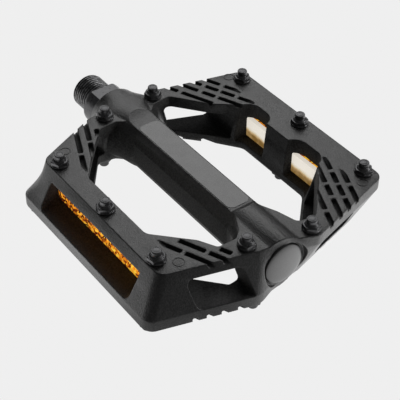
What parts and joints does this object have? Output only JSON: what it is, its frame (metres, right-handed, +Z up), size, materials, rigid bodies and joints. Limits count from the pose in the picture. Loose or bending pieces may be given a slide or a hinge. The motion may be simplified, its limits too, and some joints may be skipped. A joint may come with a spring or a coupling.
{
  "type": "flat bicycle pedal",
  "caption": "Flat bicycle pedal: a moulded open platform with traction pins and amber reflectors, turning on ball bearings on a threaded crank spindle.",
  "frame": {"origin": "on the spindle axis, in the plane of the shoulder that seats against the crank arm", "axes": "+X along the spindle, away from the crank arm; +Z up, square to the platform; +Y towards the long side of the top face"},
  "size_m": [0.132, 0.1042, 0.0278],
  "materials": {
    "moulded_nylon": "fine matt moulded, glass-filled nylon",
    "black_steel": "black oxide, satin",
    "amber_lens": "clear moulded prisms, polished",
    "cream_plastic": "satin moulded",
    "bearing_steel": "ground and polished",
    "plain_steel": "zinc plated",
    "cage_brass": "pressed sheet",
    "seal_rubber": "matt"
  },
  "bodies": {
    "spindle": {"spindle": "black_steel", "outboard_cone": "bearing_steel", "keyed_lock_washer": "plain_steel", "lock_nut": "plain_steel"},
    "platform": {"platform": "moulded_nylon", "front_reflector_lens": "amber_lens", "front_reflector_back": "cream_plastic", "rear_reflector_lens": "amber_lens", "rear_reflector_back": "cream_plastic", "top_pin_01": "black_steel", "top_pin_02": "black_steel", "top_pin_03": "black_steel", "top_pin_04": "black_steel", "top_pin_05": "black_steel", "top_pin_06": "black_steel", "top_pin_07": "black_steel", "top_pin_08": "black_steel", "top_pin_09": "black_steel", "top_pin_10": "black_steel", "bottom_pin_01": "black_steel", "bottom_pin_02": "black_steel", "bottom_pin_03": "black_steel", "bottom_pin_04": "black_steel", "bottom_pin_05": "black_steel", "bottom_pin_06": "black_steel", "bottom_pin_07": "black_steel", "bottom_pin_08": "black_steel", "bottom_pin_09": "black_steel", "bottom_pin_10": "black_steel", "inboard_bearing_cup": "bearing_steel", "outboard_bearing_cup": "bearing_steel", "inboard_seal": "seal_rubber", "dust_cap": "moulded_nylon"},
    "inboard_ball_row": {"inboard_balls": "bearing_steel", "inboard_ball_cage": "cage_brass"},
    "outboard_ball_row": {"outboard_balls": "bearing_steel", "outboard_ball_cage": "cage_brass"}
  },
  "joints": [
    {"name": "platform_spin", "type": "hinge", "parent": "spindle", "child": "platform", "pos_m": [0, 0, 0], "axis": [1, 0, 0], "continuous": true},
    {"name": "inboard_row_spin", "type": "hinge", "parent": "spindle", "child": "inboard_ball_row", "pos_m": [0, 0, 0], "axis": [1, 0, 0], "continuous": true},
    {"name": "outboard_row_spin", "type": "hinge", "parent": "spindle", "child": "outboard_ball_row", "pos_m": [0, 0, 0], "axis": [1, 0, 0], "continuous": true}
  ],
  "couplings": [
    {"joint": "inboard_row_spin", "follows": "platform_spin", "ratio": 0.5884},
    {"joint": "outboard_row_spin", "follows": "platform_spin", "ratio": 0.6039}
  ]
}
